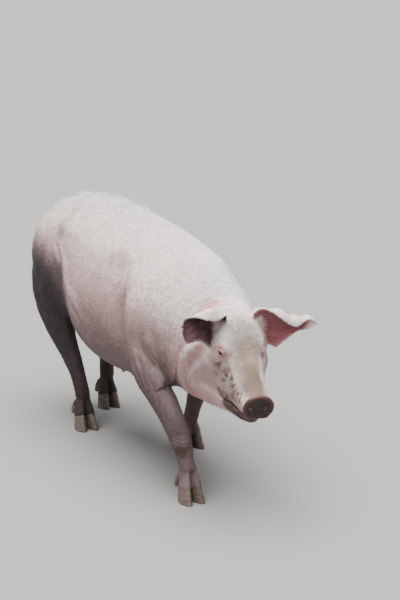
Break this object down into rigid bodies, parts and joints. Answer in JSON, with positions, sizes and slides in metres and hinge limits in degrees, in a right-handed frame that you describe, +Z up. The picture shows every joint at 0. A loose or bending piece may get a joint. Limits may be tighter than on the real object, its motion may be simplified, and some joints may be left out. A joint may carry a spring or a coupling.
{
  "type": "pig model",
  "caption": "Life-size still model of a pale pink domestic pig in a slow walk, head lowered and turned a little, standing on flat hoof soles.",
  "frame": {"origin": "on the floor, under the middle of the whole model's box", "axes": "+X the way the pig walks, from tail to snout; +Y its left; +Z up"},
  "size_m": [1.4968, 0.4054, 0.7201],
  "materials": {
    "skin": "matt skin with pale bristles",
    "claw": "dull worn horn",
    "eye": "wet and glossy"
  },
  "bodies": {
    "root": {"trunk": "skin", "neck": "skin", "head": "skin", "snout": "skin", "jaw": "skin", "ear_left": "skin", "ear_right": "skin", "tail": "skin", "front_right_upper_leg": "skin", "front_right_lower_leg": "skin", "front_left_upper_leg": "skin", "front_left_lower_leg": "skin", "hind_right_upper_leg": "skin", "hind_right_lower_leg": "skin", "hind_left_upper_leg": "skin", "hind_left_lower_leg": "skin", "claw_front_right_right": "claw", "claw_front_right_left": "claw", "dewclaw_front_right_right": "claw", "dewclaw_front_right_left": "claw", "claw_front_left_right": "claw", "claw_front_left_left": "claw", "dewclaw_front_left_right": "claw", "dewclaw_front_left_left": "claw", "claw_hind_right_right": "claw", "claw_hind_right_left": "claw", "dewclaw_hind_right_right": "claw", "dewclaw_hind_right_left": "claw", "claw_hind_left_right": "claw", "claw_hind_left_left": "claw", "dewclaw_hind_left_right": "claw", "dewclaw_hind_left_left": "claw", "eye_right": "eye", "eye_left": "eye"}
  },
  "joints": []
}
